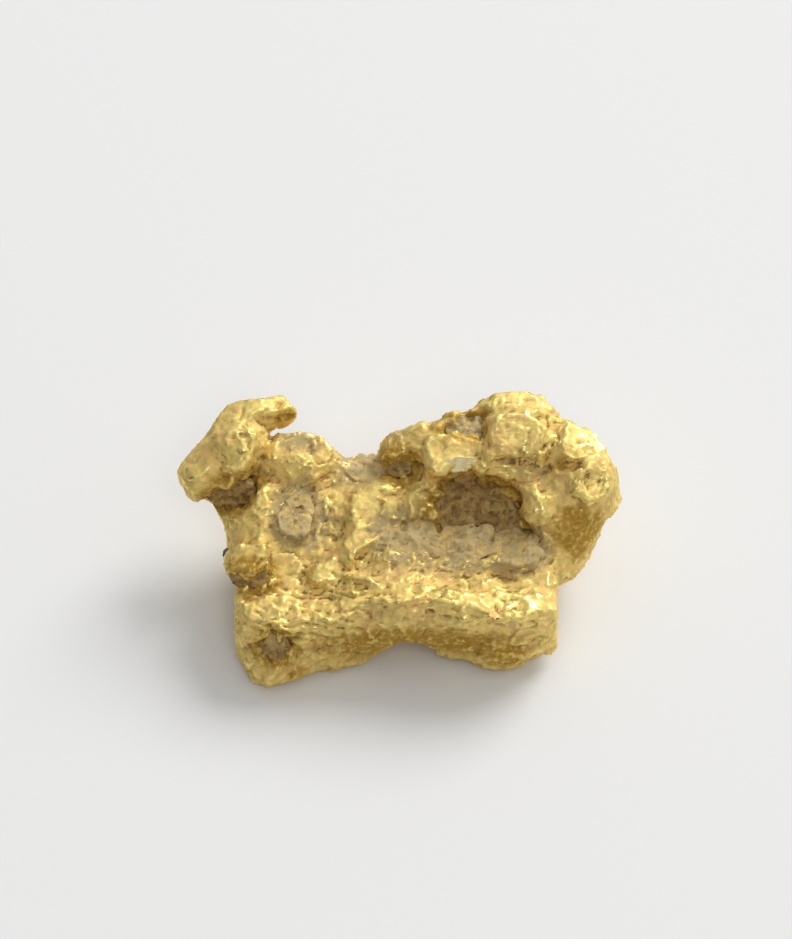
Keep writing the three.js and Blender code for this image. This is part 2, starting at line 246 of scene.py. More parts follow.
# Creases and dents: the line each one follows, its half width, its depth.
CREASES = (
    (((-2.05, 1.48, 2.22), (-1.75, 1.6, 2.2)), 0.3, 0.13),  # the gap between the hook and the neck
    (((1.4, 1.45, 2.6), (1.8, 1.35, 2.7), (2.25, 1.3, 2.6)), 0.1, 0.12),  # under the top mass
    (((1.32, 1.55, 2.5), (1.34, 1.2, 2.4), (1.38, 0.85, 2.4)), 0.12, 0.14),  # between the two blocks
    (((2.35, 0.75, 2.4), (2.62, 0.55, 2.38), (2.9, 0.62, 2.38)), 0.12, 0.12),
    (((2.38, 1.1, 2.5), (2.34, 0.8, 2.45)), 0.09, 0.1),
    (((-2.3, 1.45, 2.45), (-2.1, 1.45, 2.38)), 0.12, 0.03),  # the bowl in the horn's fold
    (((-2.1, -0.55, 1.44), (-2.1, -0.85, 1.25)), 0.08, 0.1),
    (((-0.85, -0.98, 1.3), (-0.5, -1.1, 1.38)), 0.06, 0.07),
    (((-0.7, -1.27, 1.33), (-0.3, -1.28, 1.38), (0.05, -1.3, 1.46)), 0.05, 0.07),
    (((-2.0, -1.66, 1.0), (-1.75, -1.72, 0.98), (-1.55, -1.74, 0.96)), 0.09, 0.1),
    (((2.1, -0.98, 1.34), (2.34, -1.04, 1.33), (2.5, -1.0, 1.2)), 0.08, 0.1),
    (((1.5, -0.78, 1.38), (1.8, -0.85, 1.36)), 0.14, 0.09),  # the oval dent behind the crest
    (((-1.5, 0.36, 1.48), (-1.54, -0.03, 1.5)), 0.14, 0.06),
    (((-0.1, -0.95, 1.47), (0.25, -0.75, 1.46)), 0.07, 0.04),
    (((1.15, -1.2, 1.44), (1.35, -1.35, 1.44)), 0.08, 0.05),
    (((2.3, -0.2, 1.75), (2.6, -0.35, 1.6)), 0.08, 0.05),
    (((1.1, 0.5, 2.2), (1.75, 0.6, 2.3)), 0.08, 0.08),  # the shadowed line under the lit block
    (((1.75, 0.45, 2.1), (2.1, 0.42, 2.2), (2.35, 0.6, 2.3)), 0.1, 0.12),  # a notch in the pit's rim
    (((0.5, 0.55, 1.9), (0.3, 0.4, 1.8)), 0.09, 0.09),
)
# Broken edges: the line each one follows, how far the raised side reaches back from it, and how far
# it stands up. The raised side lies to the left of someone walking along the line.
EDGES = (
    (((-0.86, -0.75, 1.33), (-0.3, -0.2, 1.55), (0.45, 0.35, 1.75)), 0.55, 0.16),  # the warm swath
    (((0.35, 0.6, 2.25), (0.8, 0.5, 2.3), (1.35, 0.52, 2.3)), 0.3, 0.1),  # the lit block
    (((1.4, 0.85, 2.45), (1.8, 0.78, 2.45), (2.25, 0.9, 2.48)), 0.35, 0.1),  # the upper block
    (((2.42, 0.8, 2.45), (2.75, 0.66, 2.42), (3.2, 0.8, 2.3)), 0.3, 0.09),  # the slanted plate
    (((1.3, 1.42, 2.5), (1.85, 1.3, 2.68), (2.3, 1.38, 2.55)), 0.4, 0.1),  # the top mass
    (((-0.62, -1.42, 1.34), (0.0, -1.46, 1.45), (0.6, -1.5, 1.47), (1.14, -1.58, 1.48)), 0.3, 0.08),
    (((1.2, -1.58, 1.45), (1.5, -1.66, 1.36), (1.93, -1.66, 1.28), (2.3, -1.5, 1.3)), 0.3, 0.08),
    (((-2.2, -1.5, 1.13), (-1.83, -1.61, 1.09), (-1.6, -1.7, 1.04)), 0.3, 0.1),
    (((-1.6, -1.55, 1.2), (-1.2, -1.57, 1.14), (-0.85, -1.6, 1.17)), 0.25, 0.07),
    (((-0.98, -1.08, 1.26), (-0.6, -1.2, 1.33), (-0.3, -1.22, 1.4)), 0.2, 0.07),
    (((-1.0, -0.86, 1.28), (-0.57, -0.97, 1.38), (-0.25, -1.1, 1.43)), 0.22, 0.07),
    (((-2.75, 0.85, 2.2), (-2.5, 0.76, 2.1), (-2.2, 1.0, 2.1)), 0.25, 0.08),  # the horn's block
    (((-1.85, 1.0, 2.0), (-1.4, 1.0, 2.0), (-1.1, 1.2, 1.95)), 0.35, 0.08),  # the block on the neck
    (((-0.1, 1.2, 2.1), (0.25, 1.1, 2.15)), 0.25, 0.08),
)
# Rings of gold curled round a dent: middle, radius of the ring, its half width and height.
CURLS = (
    ((3.02, 0.38, 2.2), 0.24, 0.12, 0.09),
    ((2.0, -1.3, 1.4), 0.19, 0.08, 0.045),
)
# Flat faces where a crystal grew or broke: the middle of each, the way it faces, how far it reaches.
FLATS = (
    ((0.85, 0.74, 2.45), (0.05, -0.45, 0.89), (0.6, 0.34, 0.4)),  # the lit block
    ((1.82, 1.02, 2.75), (0.0, -0.5, 0.87), (0.45, 0.36, 0.4)),  # the upper block
    ((-2.45, 0.93, 2.35), (-0.15, -0.5, 0.85), (0.3, 0.28, 0.35)),  # the horn's block
    ((2.95, 0.95, 2.5), (0.3, -0.2, 0.93), (0.45, 0.38, 0.4)),  # the slanted plate
    ((-2.33, -0.55, 1.45), (-0.1, -0.5, 0.86), (0.27, 0.22, 0.3)),  # left of the ledge
    ((-0.35, 0.1, 1.65), (0.25, -0.35, 0.9), (0.5, 0.42, 0.35)),  # the warm swath
    ((-1.55, 1.3, 2.05), (0.1, -0.3, 0.95), (0.5, 0.34, 0.35)),  # on top of the neck
    ((1.75, 1.8, 2.85), (0.0, -0.15, 0.98), (0.6, 0.3, 0.3)),  # the top mass
    ((0.15, 1.2, 2.2), (-0.3, -0.35, 0.89), (0.3, 0.25, 0.35)),
    ((0.6, -1.28, 1.5), (-0.1, -0.4, 0.91), (0.32, 0.2, 0.25)),  # the knot on the crest
    ((1.85, -1.4, 1.42), (0.1, -0.3, 0.95), (0.4, 0.2, 0.25)),
    ((-1.9, -1.35, 1.2), (-0.1, -0.3, 0.95), (0.4, 0.25, 0.25)),
    ((-2.5, 1.65, 2.55), (-0.3, -0.1, 0.95), (0.4, 0.25, 0.3)),
    ((-1.15, -0.72, 1.3), (0.2, -0.4, 0.9), (0.24, 0.18, 0.2)),
)
FLATNESS = 0.85


def wandering(points, size, amount):
    """The points moved about by a slow, smooth noise, so that no form keeps a drawn outline."""
    return points + amount * np.array([noise.noise_vector(Vector(p) / size) for p in points])


def flattened(points, normals):
    """The points with those on each flat face drawn onto its plane, which leaves a crisp edge."""
    out = points.copy()
    roamed = wandering(points, 0.25, 0.07)
    for middle, facing, reach in FLATS:
        facing = np.array(facing) / np.linalg.norm(facing)
        share = ramp(inside_box(roamed, middle, reach), 0.0, 0.12)
        share = share * ramp(normals @ facing, 0.3, 0.6)
        if not (share > 0.5).any():
            continue
        height = (out - middle) @ facing
        level = np.percentile(height[share > 0.5], 60)
        out -= (FLATNESS * share * np.clip(height - level, -0.12, 0.25))[:, None] * facing
    return out


def formed(points):
    """How far the listed forms stand out of the body, or sink into it."""
    height = np.zeros(len(points))
    for middle, reach, proud in BLOCKS:
        height += proud * ramp(inside_box(points, middle, reach), 0.0, 0.22)
    for middle, reach, proud in KNOBS:
        height += proud * ramp(inside(points, middle, reach), 0.0, 0.9)
    for path, width, proud in RIDGES:
        height += proud * ramp(1.0 - off_path(points, path) / width, 0.0, 1.0)
    for path, width, depth in CREASES:
        height -= depth * ramp(1.0 - off_path(points, path) / width, 0.0, 1.0)
    for path, back, proud in EDGES:
        distance, side, to_end = beside_path(points, path)
        raised = proud * ramp(side, -0.03, 0.03) * ramp(1.0 - distance / back, 0.0, 1.0)
        height += raised * ramp(to_end, 0.05, 0.3)
    for middle, radius, width, proud in CURLS:
        from_middle = np.linalg.norm(points - middle, axis=1)
        height += proud * ramp(1.0 - np.abs(from_middle - radius) / width, 0.0, 1.0)
        height -= proud * ramp(1.0 - from_middle / radius, 0.2, 1.0)
    return height


def nearest_on(obj, points):
    """The nearest place on a piece to each point."""
    tree = BVHTree.FromPolygons(
        [v.co for v in obj.data.vertices], [f.vertices for f in obj.data.polygons])
    return np.array([tree.find_nearest(Vector(p))[0] for p in points])


def near_mineral(points, kinds, reach):
    """1 where the gold touches a mineral of these kinds, falling to 0 at `reach` from it."""
    away = np.full(len(points), 1e9)
    for name in [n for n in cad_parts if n.startswith(kinds)]:
        body = working_copy("measured", name)
        away = np.minimum(away, np.linalg.norm(nearest_on(body, points) - points, axis=1))
        bpy.data.objects.remove(body)
    return 1.0 - ramp(away, 0.06, reach)


# Ragged rims: gold grew over the edges of the minerals in small lumps and tongues.
RIM_LUMP_SIZE = 0.2
RIM_LUMP_HEIGHT = 0.09
RIM_REACH = 0.25
push_out(gold.data, formed(wandering(read_points(gold.data), 0.3, 0.06)))
points = read_points(gold.data)
lumps = per_point(points, lambda p: noise.fractal(p / RIM_LUMP_SIZE, 0.8, 2.0, 2))
rims = near_mineral(points, ("ironstone", "clay"), RIM_REACH)
push_out(gold.data, RIM_LUMP_HEIGHT * rims * np.clip(2.0 * lumps, -0.2, 1.0))
write_points(gold.data, flattened(read_points(gold.data), read_normals(gold.data)))
even_mesh(gold, GOLD_MESH_SPACING, 2)
write_points(gold.data, faceted(read_points(gold.data), read_normals(gold.data), *SMALL_FACETS))

# Layers: the ledge grew as thin leaves of gold that lie nearly flat and lean to the front.
LEAF_THICKNESS = 0.17
LEAF_STEP = 0.042
LEAF_LEAN = Vector((0.10, 0.68, 0.72)).normalized()
LEAF_PLACES = (
    # middle, reach, share of the full step
    ((-1.3, -1.35, 1.1), (1.5, 0.7, 0.6), 1.0),
    ((1.3, -1.4, 1.3), (1.6, 0.5, 0.4), 0.5),
    ((-2.4, 1.4, 2.3), (0.8, 0.7, 0.5), 0.3),
)


def leaves(points):
    """Sharp-edged steps between the leaves, where the gold is layered."""
    def step(p):
        wander = 0.3 * noise.noise(p / 0.6) + 0.12 * noise.noise(p / 0.2)
        level = (p.dot(LEAF_LEAN) + wander) / LEAF_THICKNESS
        return 1.0 - abs(2.0 * (level - math.floor(level)) - 1.0)
    shares = [
        share * ramp(inside(points, middle, reach), 0.0, 0.5) for middle, reach, share in LEAF_PLACES]
    return LEAF_STEP * np.max(shares, axis=0) * (per_point(points, step) ** 0.6 - 0.5)


# Torn grain: gold breaks into small tilted plates and sharp ridges with rounded pits between.
PLATES = (
    # size of a plate, how far it tilts out of the surface
    (0.32, 0.030),
    (0.15, 0.014),
)
TORN_SIZE = 0.42
TORN_HEIGHT = 0.03


def plates(size, tilt):
    """How far each small plate tilts out of the surface: a function of the place."""
    def height(p):
        bent = (p + 0.3 * size * noise.noise_vector(p / (1.5 * size))) / size
        _, middles = noise.voronoi(bent)
        lean = noise.cell_vector(middles[0] * 7.3) - Vector((0.5, 0.5, 0.5))
        return tilt * (bent - middles[0]).dot(lean) * 2.0
    return height


def torn(p):
    """Sharp ridges with rounded pits between them."""
    return noise.ridged_multi_fractal(p / TORN_SIZE, 0.85, 2.2, 4, 0.95, 1.8)


def grained(points):
    """The height of the torn grain, ridges and plates together."""
    ridges = per_point(points, torn)
    ridges = np.clip((ridges - np.median(ridges)) / (2.0 * ridges.std()), -0.45, 1.0)
    height = TORN_HEIGHT * 0.5 * ridges
    for size, tilt in PLATES:
        height += per_point(points, plates(size, tilt))
    return height


# Worn and matte places, where the grain is much lower: middle and reach.
WORN_PLACES = (
    ((-3.1, 0.7, 1.9), (0.6, 0.6, 0.6)),  # the horn's tip
    ((-1.8, 1.8, 2.3), (0.6, 0.5, 0.5)),  # the hook
    ((-2.5, 1.6, 2.4), (0.6, 0.6, 0.5)),
    ((-0.25, 0.45, 1.75), (0.7, 0.7, 0.5)),  # the warm bulge
    ((1.9, 1.7, 2.6), (0.9, 0.6, 0.5)),  # the top mass
    ((2.8, -0.1, 1.7), (0.8, 0.7, 0.7)),  # the stained slope
    ((2.4, -1.3, 1.2), (0.5, 0.6, 0.6)),  # the right end of the ledge
)


def wear(points):
    """1 where the gold is worn smooth, 0 where it is torn."""
    places = [ramp(inside(points, middle, reach), 0.0, 0.6) for middle, reach in WORN_PLACES]
    return np.max(places, axis=0)


WORN_AWAY = 0.6  # the share of the grain that is gone where the gold is worn smooth
points = read_points(gold.data)
relief = grained(points) * (1.0 - WORN_AWAY * wear(points)) + leaves(points)
push_out(gold.data, relief)

# Fine crinkle over everything.
CRINKLE_SIZE = 0.075
CRINKLE_HEIGHT = 0.004
points = read_points(gold.data)
crinkle = per_point(points, lambda p: noise.hetero_terrain(p / CRINKLE_SIZE, 0.9, 2.1, 2, 0.6) - 0.6)
push_out(gold.data, CRINKLE_HEIGHT * np.clip(crinkle, -1.5, 1.5))

# The feet are worn flat where the piece stands.
points = read_points(gold.data)
points[:, 2] = np.maximum(points[:, 2], 0.0)
write_points(gold.data, points)

# ---------------------------------------------------------------- the gold: its finish
# Native gold with a little silver in it. Torn edges are bright, hollows hold olive and brown iron
# stain, and fine silt dulls the sheltered places. Painted shade darkens the deepest crevices, the
# front wall and the underside of the horn. The stains are measured on the finished shape.


def smoothed(values, mesh, rounds):
    """Values averaged with their neighbours along the mesh's edges, several times."""
    edges = np.empty(len(mesh.edges) * 2, np.int32)
    mesh.edges.foreach_get("vertices", edges)
    a, b = edges.reshape(-1, 2).T
    count = np.bincount(a, minlength=len(values)) + np.bincount(b, minlength=len(values))
    out = values.copy()
    for _ in range(rounds):
        total = np.zeros_like(out)
        for axis in range(out.shape[1]):
            column = out[:, axis]
            total[:, axis] = np.bincount(a, column[b], len(out)) + np.bincount(b, column[a], len(out))
        out = total / np.maximum(count, 1)[:, None]
    return out


def store(mesh, name, values):
    """Keeps one number per vertex with the mesh, for its material to read."""
    layer = mesh.attributes.new(name, "FLOAT", "POINT")
    layer.data.foreach_set("value", values.astype(np.float32))


def hollowness(mesh, points, rounds, depth):
    """0.5 on even ground, rising to 1 in hollows and falling to 0 on ridges."""
    lower = smoothed(points, mesh, rounds) - points
    return np.clip(0.5 + 0.5 * (lower * read_normals(mesh)).sum(axis=1) / depth, 0.0, 1.0)


# Where silt has settled, and where iron has stained the gold or painted shade darkens it in the
# iron colour: middle, reach, strength.
SILT = (
    ((0.9, -0.1, 1.5), (1.7, 0.62, 0.5), 1.0),  # along the groove
    ((-0.5, 1.35, 1.75), (0.6, 0.5, 0.4), 0.9),  # on the saddle
    ((-1.5, 0.15, 1.5), (0.8, 0.8, 0.6), 1.0),  # on the neck
    ((-1.6, 1.35, 2.0), (0.7, 0.5, 0.5), 1.0),
    ((0.3, -0.6, 1.4), (1.2, 0.5, 0.4), 0.5),  # behind the crest
    ((0.95, 1.45, 2.35), (0.5, 0.35, 0.4), 0.8),  # in the upper hollow
    ((2.0, 0.6, 2.3), (0.7, 0.45, 0.5), 0.5),
    ((0.1, 1.35, 2.15), (0.5, 0.4, 0.4), 0.7),
)
IRON_AND_SHADE = (
    ((2.8, -0.1, 1.6), (0.75, 0.7, 0.75), 1.0),  # the slope at the right
    ((1.35, 0.5, 1.85), (1.1, 0.75, 0.6), 1.0),  # around the main pit
    ((-2.7, 0.75, 1.85), (0.75, 0.45, 0.35), 1.0),  # painted shade under the horn's overhang
    ((-1.82, 1.75, 2.25), (0.35, 0.3, 0.4), 0.9),  # the hook's tip
    ((-1.8, -1.7, 0.7), (0.45, 0.4, 0.35), 0.9),  # round the foot's pit
    ((-1.6, -1.85, 0.25), (0.5, 0.4, 0.3), 0.8),
    # The next two places are painted shade on the front wall, which faces away from the light.
    ((0.3, -1.75, 0.7), (2.8, 0.5, 0.75), 1.0),  # the front wall: painted shade
    ((1.7, -1.75, 0.5), (0.6, 0.5, 0.5), 1.0),
    ((-2.3, -0.3, 1.35), (0.4, 0.3, 0.4), 0.8),
    ((0.05, 1.1, 1.9), (0.35, 0.35, 0.4), 0.9),
    ((1.35, 1.5, 2.5), (0.3, 0.3, 0.3), 0.7),
    ((2.6, 0.62, 2.4), (0.5, 0.25, 0.3), 0.7),
)
UNDERSIDE = 0.9  # below this height the gold takes more of the iron colour, darker towards the bottom
# Where water and sand keep the metal clean and bright.
POLISHED = (
    ((-2.45, 0.92, 2.3), (0.26, 0.26, 0.3), 1.0),  # the horn's block
    ((1.85, 1.0, 2.6), (0.5, 0.36, 0.3), 0.9),  # the upper block
    ((0.95, 0.65, 2.35), (0.5, 0.3, 0.2), 0.9),  # the lit block's edge
    ((2.95, 0.95, 2.45), (0.5, 0.4, 0.3), 1.0),  # the slanted plate
    ((3.1, 0.35, 2.15), (0.4, 0.4, 0.4), 0.6),  # the ring
    ((-0.25, 0.45, 1.8), (0.5, 0.5, 0.4), 0.7),  # the warm bulge
    ((-2.33, -0.58, 1.42), (0.3, 0.24, 0.3), 0.8),  # the left block
    ((-1.2, -0.7, 1.3), (0.4, 0.25, 0.3), 0.9),
    ((-0.8, -0.95, 1.35), (0.7, 0.3, 0.3), 0.7),
    ((0.7, -1.3, 1.5), (0.7, 0.4, 0.3), 0.9),  # the knot on the crest
    ((1.8, -1.45, 1.42), (0.7, 0.35, 0.25), 0.9),
    ((-1.9, -1.5, 1.15), (0.7, 0.3, 0.25), 0.8),
    ((1.7, 1.7, 2.7), (0.9, 0.5, 0.3), 0.6),
    ((-2.3, 1.6, 2.5), (0.7, 0.4, 0.3), 0.5),
    ((-1.1, 0.4, 1.7), (0.3, 0.5, 0.4), 0.8),
    ((-1.3, -0.05, 1.5), (0.25, 0.3, 0.3), 0.9),
)


def cover(points, places):
    """How strongly the places given cover each point."""
    layers = [
        strength * ramp(inside(points, middle, reach), 0.0, 0.8) for middle, reach, strength in places]
    return np.max(layers, axis=0)


points = read_points(gold.data)
below = 0.5 * ramp(UNDERSIDE - points[:, 2], 0.0, UNDERSIDE)
store(gold.data, "crevice", hollowness(gold.data, points, 5, 0.016))
store(gold.data, "hollow", hollowness(gold.data, points, 40, 0.085))
store(gold.data, "silt", np.maximum(cover(points, SILT), near_mineral(points, ("clay",), 0.5)))
# The iron mask holds iron stain, painted shade under the horn and on the front wall, and the darkening
# towards the bottom.
stained = np.maximum(cover(points, IRON_AND_SHADE), near_mineral(points, ("ironstone",), 0.45))
store(gold.data, "iron", np.maximum(stained, below))
store(gold.data, "polished", cover(points, POLISHED))


def node(tree, kind, **inputs):
    """A new node with its inputs set or linked. An underscore stands for a space."""
    made = tree.nodes.new(kind)
    for name, value in inputs.items():
        socket = made.inputs[name.replace("_", " ")]
        if isinstance(value, bpy.types.NodeSocket):
            tree.links.new(value, socket)
        else:
            socket.default_value = value
    return made


def place_in_mm(tree):
    """The place on the piece, in millimetres."""
    where = tree.nodes.new("ShaderNodeTexCoord")
    scale = tree.nodes.new("ShaderNodeVectorMath")
    scale.operation = "SCALE"
    tree.links.new(where.outputs["Object"], scale.inputs[0])
    scale.inputs["Scale"].default_value = 1 / MM
    return scale.outputs["Vector"]


def sums(tree, operation, first, second):
    """Two values worked into one, which is kept between 0 and 1."""
    made = tree.nodes.new("ShaderNodeMath")
    made.operation = operation
    made.use_clamp = True
    for socket, value in zip(made.inputs, (first, second)):
        if isinstance(value, bpy.types.NodeSocket):
            tree.links.new(value, socket)
        else:
            socket.default_value = value
    return made.outputs[0]


def stretch(tree, value, low, high, floor=0.0, top=1.0):
    """A value between low and high spread smoothly over floor to top."""
    made = tree.nodes.new("ShaderNodeMapRange")
    made.interpolation_type = "SMOOTHSTEP"
    tree.links.new(value, made.inputs["Value"])
    for name, number in (("From Min", low), ("From Max", high), ("To Min", floor), ("To Max", top)):
        made.inputs[name].default_value = number
    return made.outputs["Result"]


def tint(tree, share, under, over):
    """The colour `over` laid on `under`, as much as `share` says."""
    made = tree.nodes.new("ShaderNodeMix")
    made.data_type = "RGBA"
    tree.links.new(share, made.inputs["Factor"])
    for socket, colour in ((made.inputs[6], under), (made.inputs[7], over)):
        if isinstance(colour, bpy.types.NodeSocket):
            tree.links.new(colour, socket)
        else:
            socket.default_value = (*colour, 1.0)
    return made.outputs[2]


def spots_group():
    """Shared effect: cloudy spots of one size. A shift gives spots in other places."""
    group = bpy.data.node_groups.new("cloudy spots", "ShaderNodeTree")
    for name in ("Place", "Shift"):
        group.interface.new_socket(name, in_out="INPUT", socket_type="NodeSocketVector")
    for name in ("Size", "Detail"):
        group.interface.new_socket(name, in_out="INPUT", socket_type="NodeSocketFloat")
    group.interface.new_socket("Spots", in_out="OUTPUT", socket_type="NodeSocketFloat")
    taken = group.nodes.new("NodeGroupInput")
    given = group.nodes.new("NodeGroupOutput")
    moved = group.nodes.new("ShaderNodeVectorMath")
    group.links.new(taken.outputs["Place"], moved.inputs[0])
    group.links.new(taken.outputs["Shift"], moved.inputs[1])
    scaled = group.nodes.new("ShaderNodeVectorMath")
    scaled.operation = "DIVIDE"
    group.links.new(moved.outputs[0], scaled.inputs[0])
    group.links.new(taken.outputs["Size"], scaled.inputs[1])
    cloud = node(
        group, "ShaderNodeTexNoise", Vector=scaled.outputs[0], Scale=1.0, Detail=taken.outputs["Detail"])
    group.links.new(cloud.outputs["Fac"], given.inputs["Spots"])
    return group


cloudy_spots = spots_group()


def speckle(tree, place, size, detail=3.0, shift=0.0):
    """Cloudy spots of one size, in millimetres."""
    spots = tree.nodes.new("ShaderNodeGroup")
    spots.node_tree = cloudy_spots
    tree.links.new(place, spots.inputs["Place"])
    spots.inputs["Shift"].default_value = (shift, shift, shift)
    spots.inputs["Size"].default_value = size
    spots.inputs["Detail"].default_value = detail
    return spots.outputs["Spots"]


def attribute(tree, name):
    """A number kept with the mesh by `store`."""
    made = tree.nodes.new("ShaderNodeAttribute")
    made.attribute_name = name
    return made.outputs["Fac"]


def blank_material(name):
    """A new material, its nodes and its surface shader."""
    material = bpy.data.materials.new(name)
    material.use_nodes = True
    tree = material.node_tree
    return material, tree, tree.nodes["Principled BSDF"]


CLEAN_GOLD = (0.98, 0.80, 0.28)  # colours are linear red, green and blue
DUSTY_GOLD = (0.88, 0.64, 0.21)
OLIVE_GOLD = (0.62, 0.48, 0.13)
WARM_GOLD = (0.88, 0.54, 0.20)
BROWN_FILM = (0.56, 0.38, 0.13)
# The next colour is iron stain, and also painted shade where the iron mask darkens the front wall and
# the horn's underside.
IRON_STAIN_AND_SHADE = (0.47, 0.27, 0.02)
# The next colour is partly stain and partly painted shade, laid in the deepest crevices.
DEEP_STAIN_AND_SHADE = (0.30, 0.18, 0.05)
SILT_TONE = (0.52, 0.40, 0.19)
FLAKE_SIZE = 0.08


def gold_material():
    """Native gold: clean on its edges, filmed, silted and iron-stained where it is sheltered, with
    painted shade in its deepest crevices, on its front wall and under its horn.
    """
    material, tree, surface = blank_material("native gold")
    place = place_in_mm(tree)
    crevice = attribute(tree, "crevice")
    hollow = attribute(tree, "hollow")
    coarse = speckle(tree, place, 0.34)
    middling = speckle(tree, place, 0.16, 3.0, 4.0)
    fine = speckle(tree, place, 0.06, 2.0, 9.0)

    # Dusty gold, mottled olive and warm, with clean metal on the edges that stand out.
    olive = sums(tree, "MULTIPLY", stretch(tree, middling, 0.46, 0.64), 0.8)
    warm = sums(tree, "MULTIPLY", stretch(tree, coarse, 0.52, 0.68), 0.75)
    brown = sums(tree, "MULTIPLY", stretch(tree, speckle(tree, place, 0.24, 4.0, 15.0), 0.5, 0.66), 0.6)
    colour = tint(tree, olive, DUSTY_GOLD, OLIVE_GOLD)
    colour = tint(tree, warm, colour, WARM_GOLD)
    colour = tint(tree, brown, colour, BROWN_FILM)
    clean = stretch(tree, crevice, 0.52, 0.22)
    polished = sums(tree, "MULTIPLY", attribute(tree, "polished"), stretch(tree, crevice, 0.75, 0.5))
    clean = sums(tree, "MAXIMUM", sums(tree, "MULTIPLY", clean, 0.7), polished)
    clean = sums(tree, "MULTIPLY", clean, stretch(tree, fine, 0.3, 0.6, 0.5, 1.0))
    colour = tint(tree, clean, colour, CLEAN_GOLD)

    # Silt and iron lie in clouds, thickest in their own places and in the crevices.
    cloud = sums(tree, "MULTIPLY", middling, 0.45)
    cloud = sums(tree, "ADD", sums(tree, "MULTIPLY", coarse, 0.45), cloud)
    silt = sums(tree, "MULTIPLY", attribute(tree, "silt"), 0.55)
    silt = stretch(tree, sums(tree, "ADD", silt, cloud), 0.56, 0.95)
    silt = sums(tree, "MULTIPLY", silt, stretch(tree, crevice, 0.1, 0.5, 0.3, 1.0))
    silt = sums(tree, "MULTIPLY", silt, stretch(tree, fine, 0.52, 0.66, 1.0, 0.35))
    colour = tint(tree, silt, colour, SILT_TONE)
    # The iron mask also lays painted shade, in the iron colour, on the front wall and under the horn.
    iron = sums(tree, "MULTIPLY", attribute(tree, "iron"), 0.55)
    iron = stretch(tree, sums(tree, "ADD", iron, cloud), 0.56, 0.98)
    iron = sums(tree, "MULTIPLY", iron, stretch(tree, crevice, 0.1, 0.55, 0.35, 0.95))
    iron = sums(tree, "MULTIPLY", iron, stretch(tree, fine, 0.5, 0.68, 1.0, 0.5))
    colour = tint(tree, iron, colour, IRON_STAIN_AND_SHADE)
    # Painted shade, partly stain: the deepest crevices inside the hollows are darkened.
    deep_stain_and_shade = stretch(tree, hollow, 0.4, 0.75, 0.35, 0.9)
    deep_stain_and_shade = sums(tree, "MULTIPLY", stretch(tree, crevice, 0.62, 1.0), deep_stain_and_shade)
    colour = tint(tree, deep_stain_and_shade, colour, DEEP_STAIN_AND_SHADE)
    tree.links.new(colour, surface.inputs["Base Color"])

    # Clean metal glints in small flakes. Film, silt and stain dull it.
    flakes = node(tree, "ShaderNodeTexVoronoi", Vector=place, Scale=1 / FLAKE_SIZE)
    shares = tree.nodes.new("ShaderNodeSeparateColor")
    tree.links.new(flakes.outputs["Color"], shares.inputs[0])
    glint = stretch(tree, shares.outputs[0], 0.72, 0.8)
    glint = sums(tree, "MULTIPLY", glint, stretch(tree, clean, 0.1, 0.5))
    dull = sums(tree, "MAXIMUM", silt, sums(tree, "MULTIPLY", iron, 0.75))
    dull = sums(tree, "MAXIMUM", dull, sums(tree, "MULTIPLY", deep_stain_and_shade, 0.7))
    film = sums(tree, "MULTIPLY", stretch(tree, clean, 0.0, 0.8, 1.0, 0.25), 0.65)
    metal = stretch(tree, sums(tree, "MAXIMUM", dull, film), 0.0, 1.0, 1.0, 0.15)
    tree.links.new(metal, surface.inputs["Metallic"])
    satin = stretch(tree, clean, 0.0, 1.0, 0.72, 0.46)
    rough = sums(tree, "ADD", satin, sums(tree, "MULTIPLY", dull, 0.3))
    rough = sums(tree, "SUBTRACT", rough, sums(tree, "MULTIPLY", glint, 0.22))
    tree.links.new(rough, surface.inputs["Roughness"])

    relief = sums(tree, "MULTIPLY", middling, 0.4)
    relief = sums(tree, "ADD", sums(tree, "MULTIPLY", fine, 0.6), relief)
    bump = node(tree, "ShaderNodeBump", Strength=0.4, Distance=0.02 * MM, Height=relief)
    tree.links.new(bump.outputs["Normal"], surface.inputs["Normal"])
    return material


def finish_piece(obj, material, node_name):
    """Turns the piece back to metres, gives it its finish and puts it in its CAD node's place."""
    obj.data.materials.append(material)
    obj.data.polygons.foreach_set("use_smooth", [True] * len(obj.data.polygons))
    write_points(obj.data, read_points(obj.data) * MM)
    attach(obj, "root")
    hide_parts(node_name)


finish_piece(gold, gold_material(), "gold_body")

# ---------------------------------------------------------------- ironstone in the hollows
# Dark brown iron oxide that grew in the pits with the gold, or was pressed in by the stream. It is
# dull and crumbly, and its edge runs under the gold all round.
# The piece under the horn is partly painted shade, darkening the horn's shadowed underside.

MINERAL_MESH_SPACING = 0.022
TOUCHING = 0.1  # closer to the gold than this, a mineral's face is against it
SEAT_GAP = 0.09  # what each mineral is let out by, so that its edge is buried in the gold
OUTLINE_SIZE = 0.14  # the size of the tongues in a mineral's outline
OUTLINE_WANDER = 1.1  # how far they reach, as a share of what the mineral is let out by
CROWN_PLANED = 0.9  # how far a crown is planed down to the gold round it

gold_solid = working_copy("measured gold", "gold_body")


def crown_level(obj):
    """The middle of the line where a mineral's open face meets the gold, and the way it faces."""
    points = read_points(obj.data)
    away = np.linalg.norm(nearest_on(gold_solid, points) - points, axis=1)
    rim = points[(away > TOUCHING) & (away < TOUCHING + 0.05)]
    facing = read_normals(obj.data)[away > TOUCHING].sum(axis=0)
    facing /= np.linalg.norm(facing)
    across = np.linalg.svd(rim - rim.mean(axis=0))[2][2]
    facing += across * np.sign(across @ facing)
    return rim.mean(axis=0), facing / np.linalg.norm(facing)


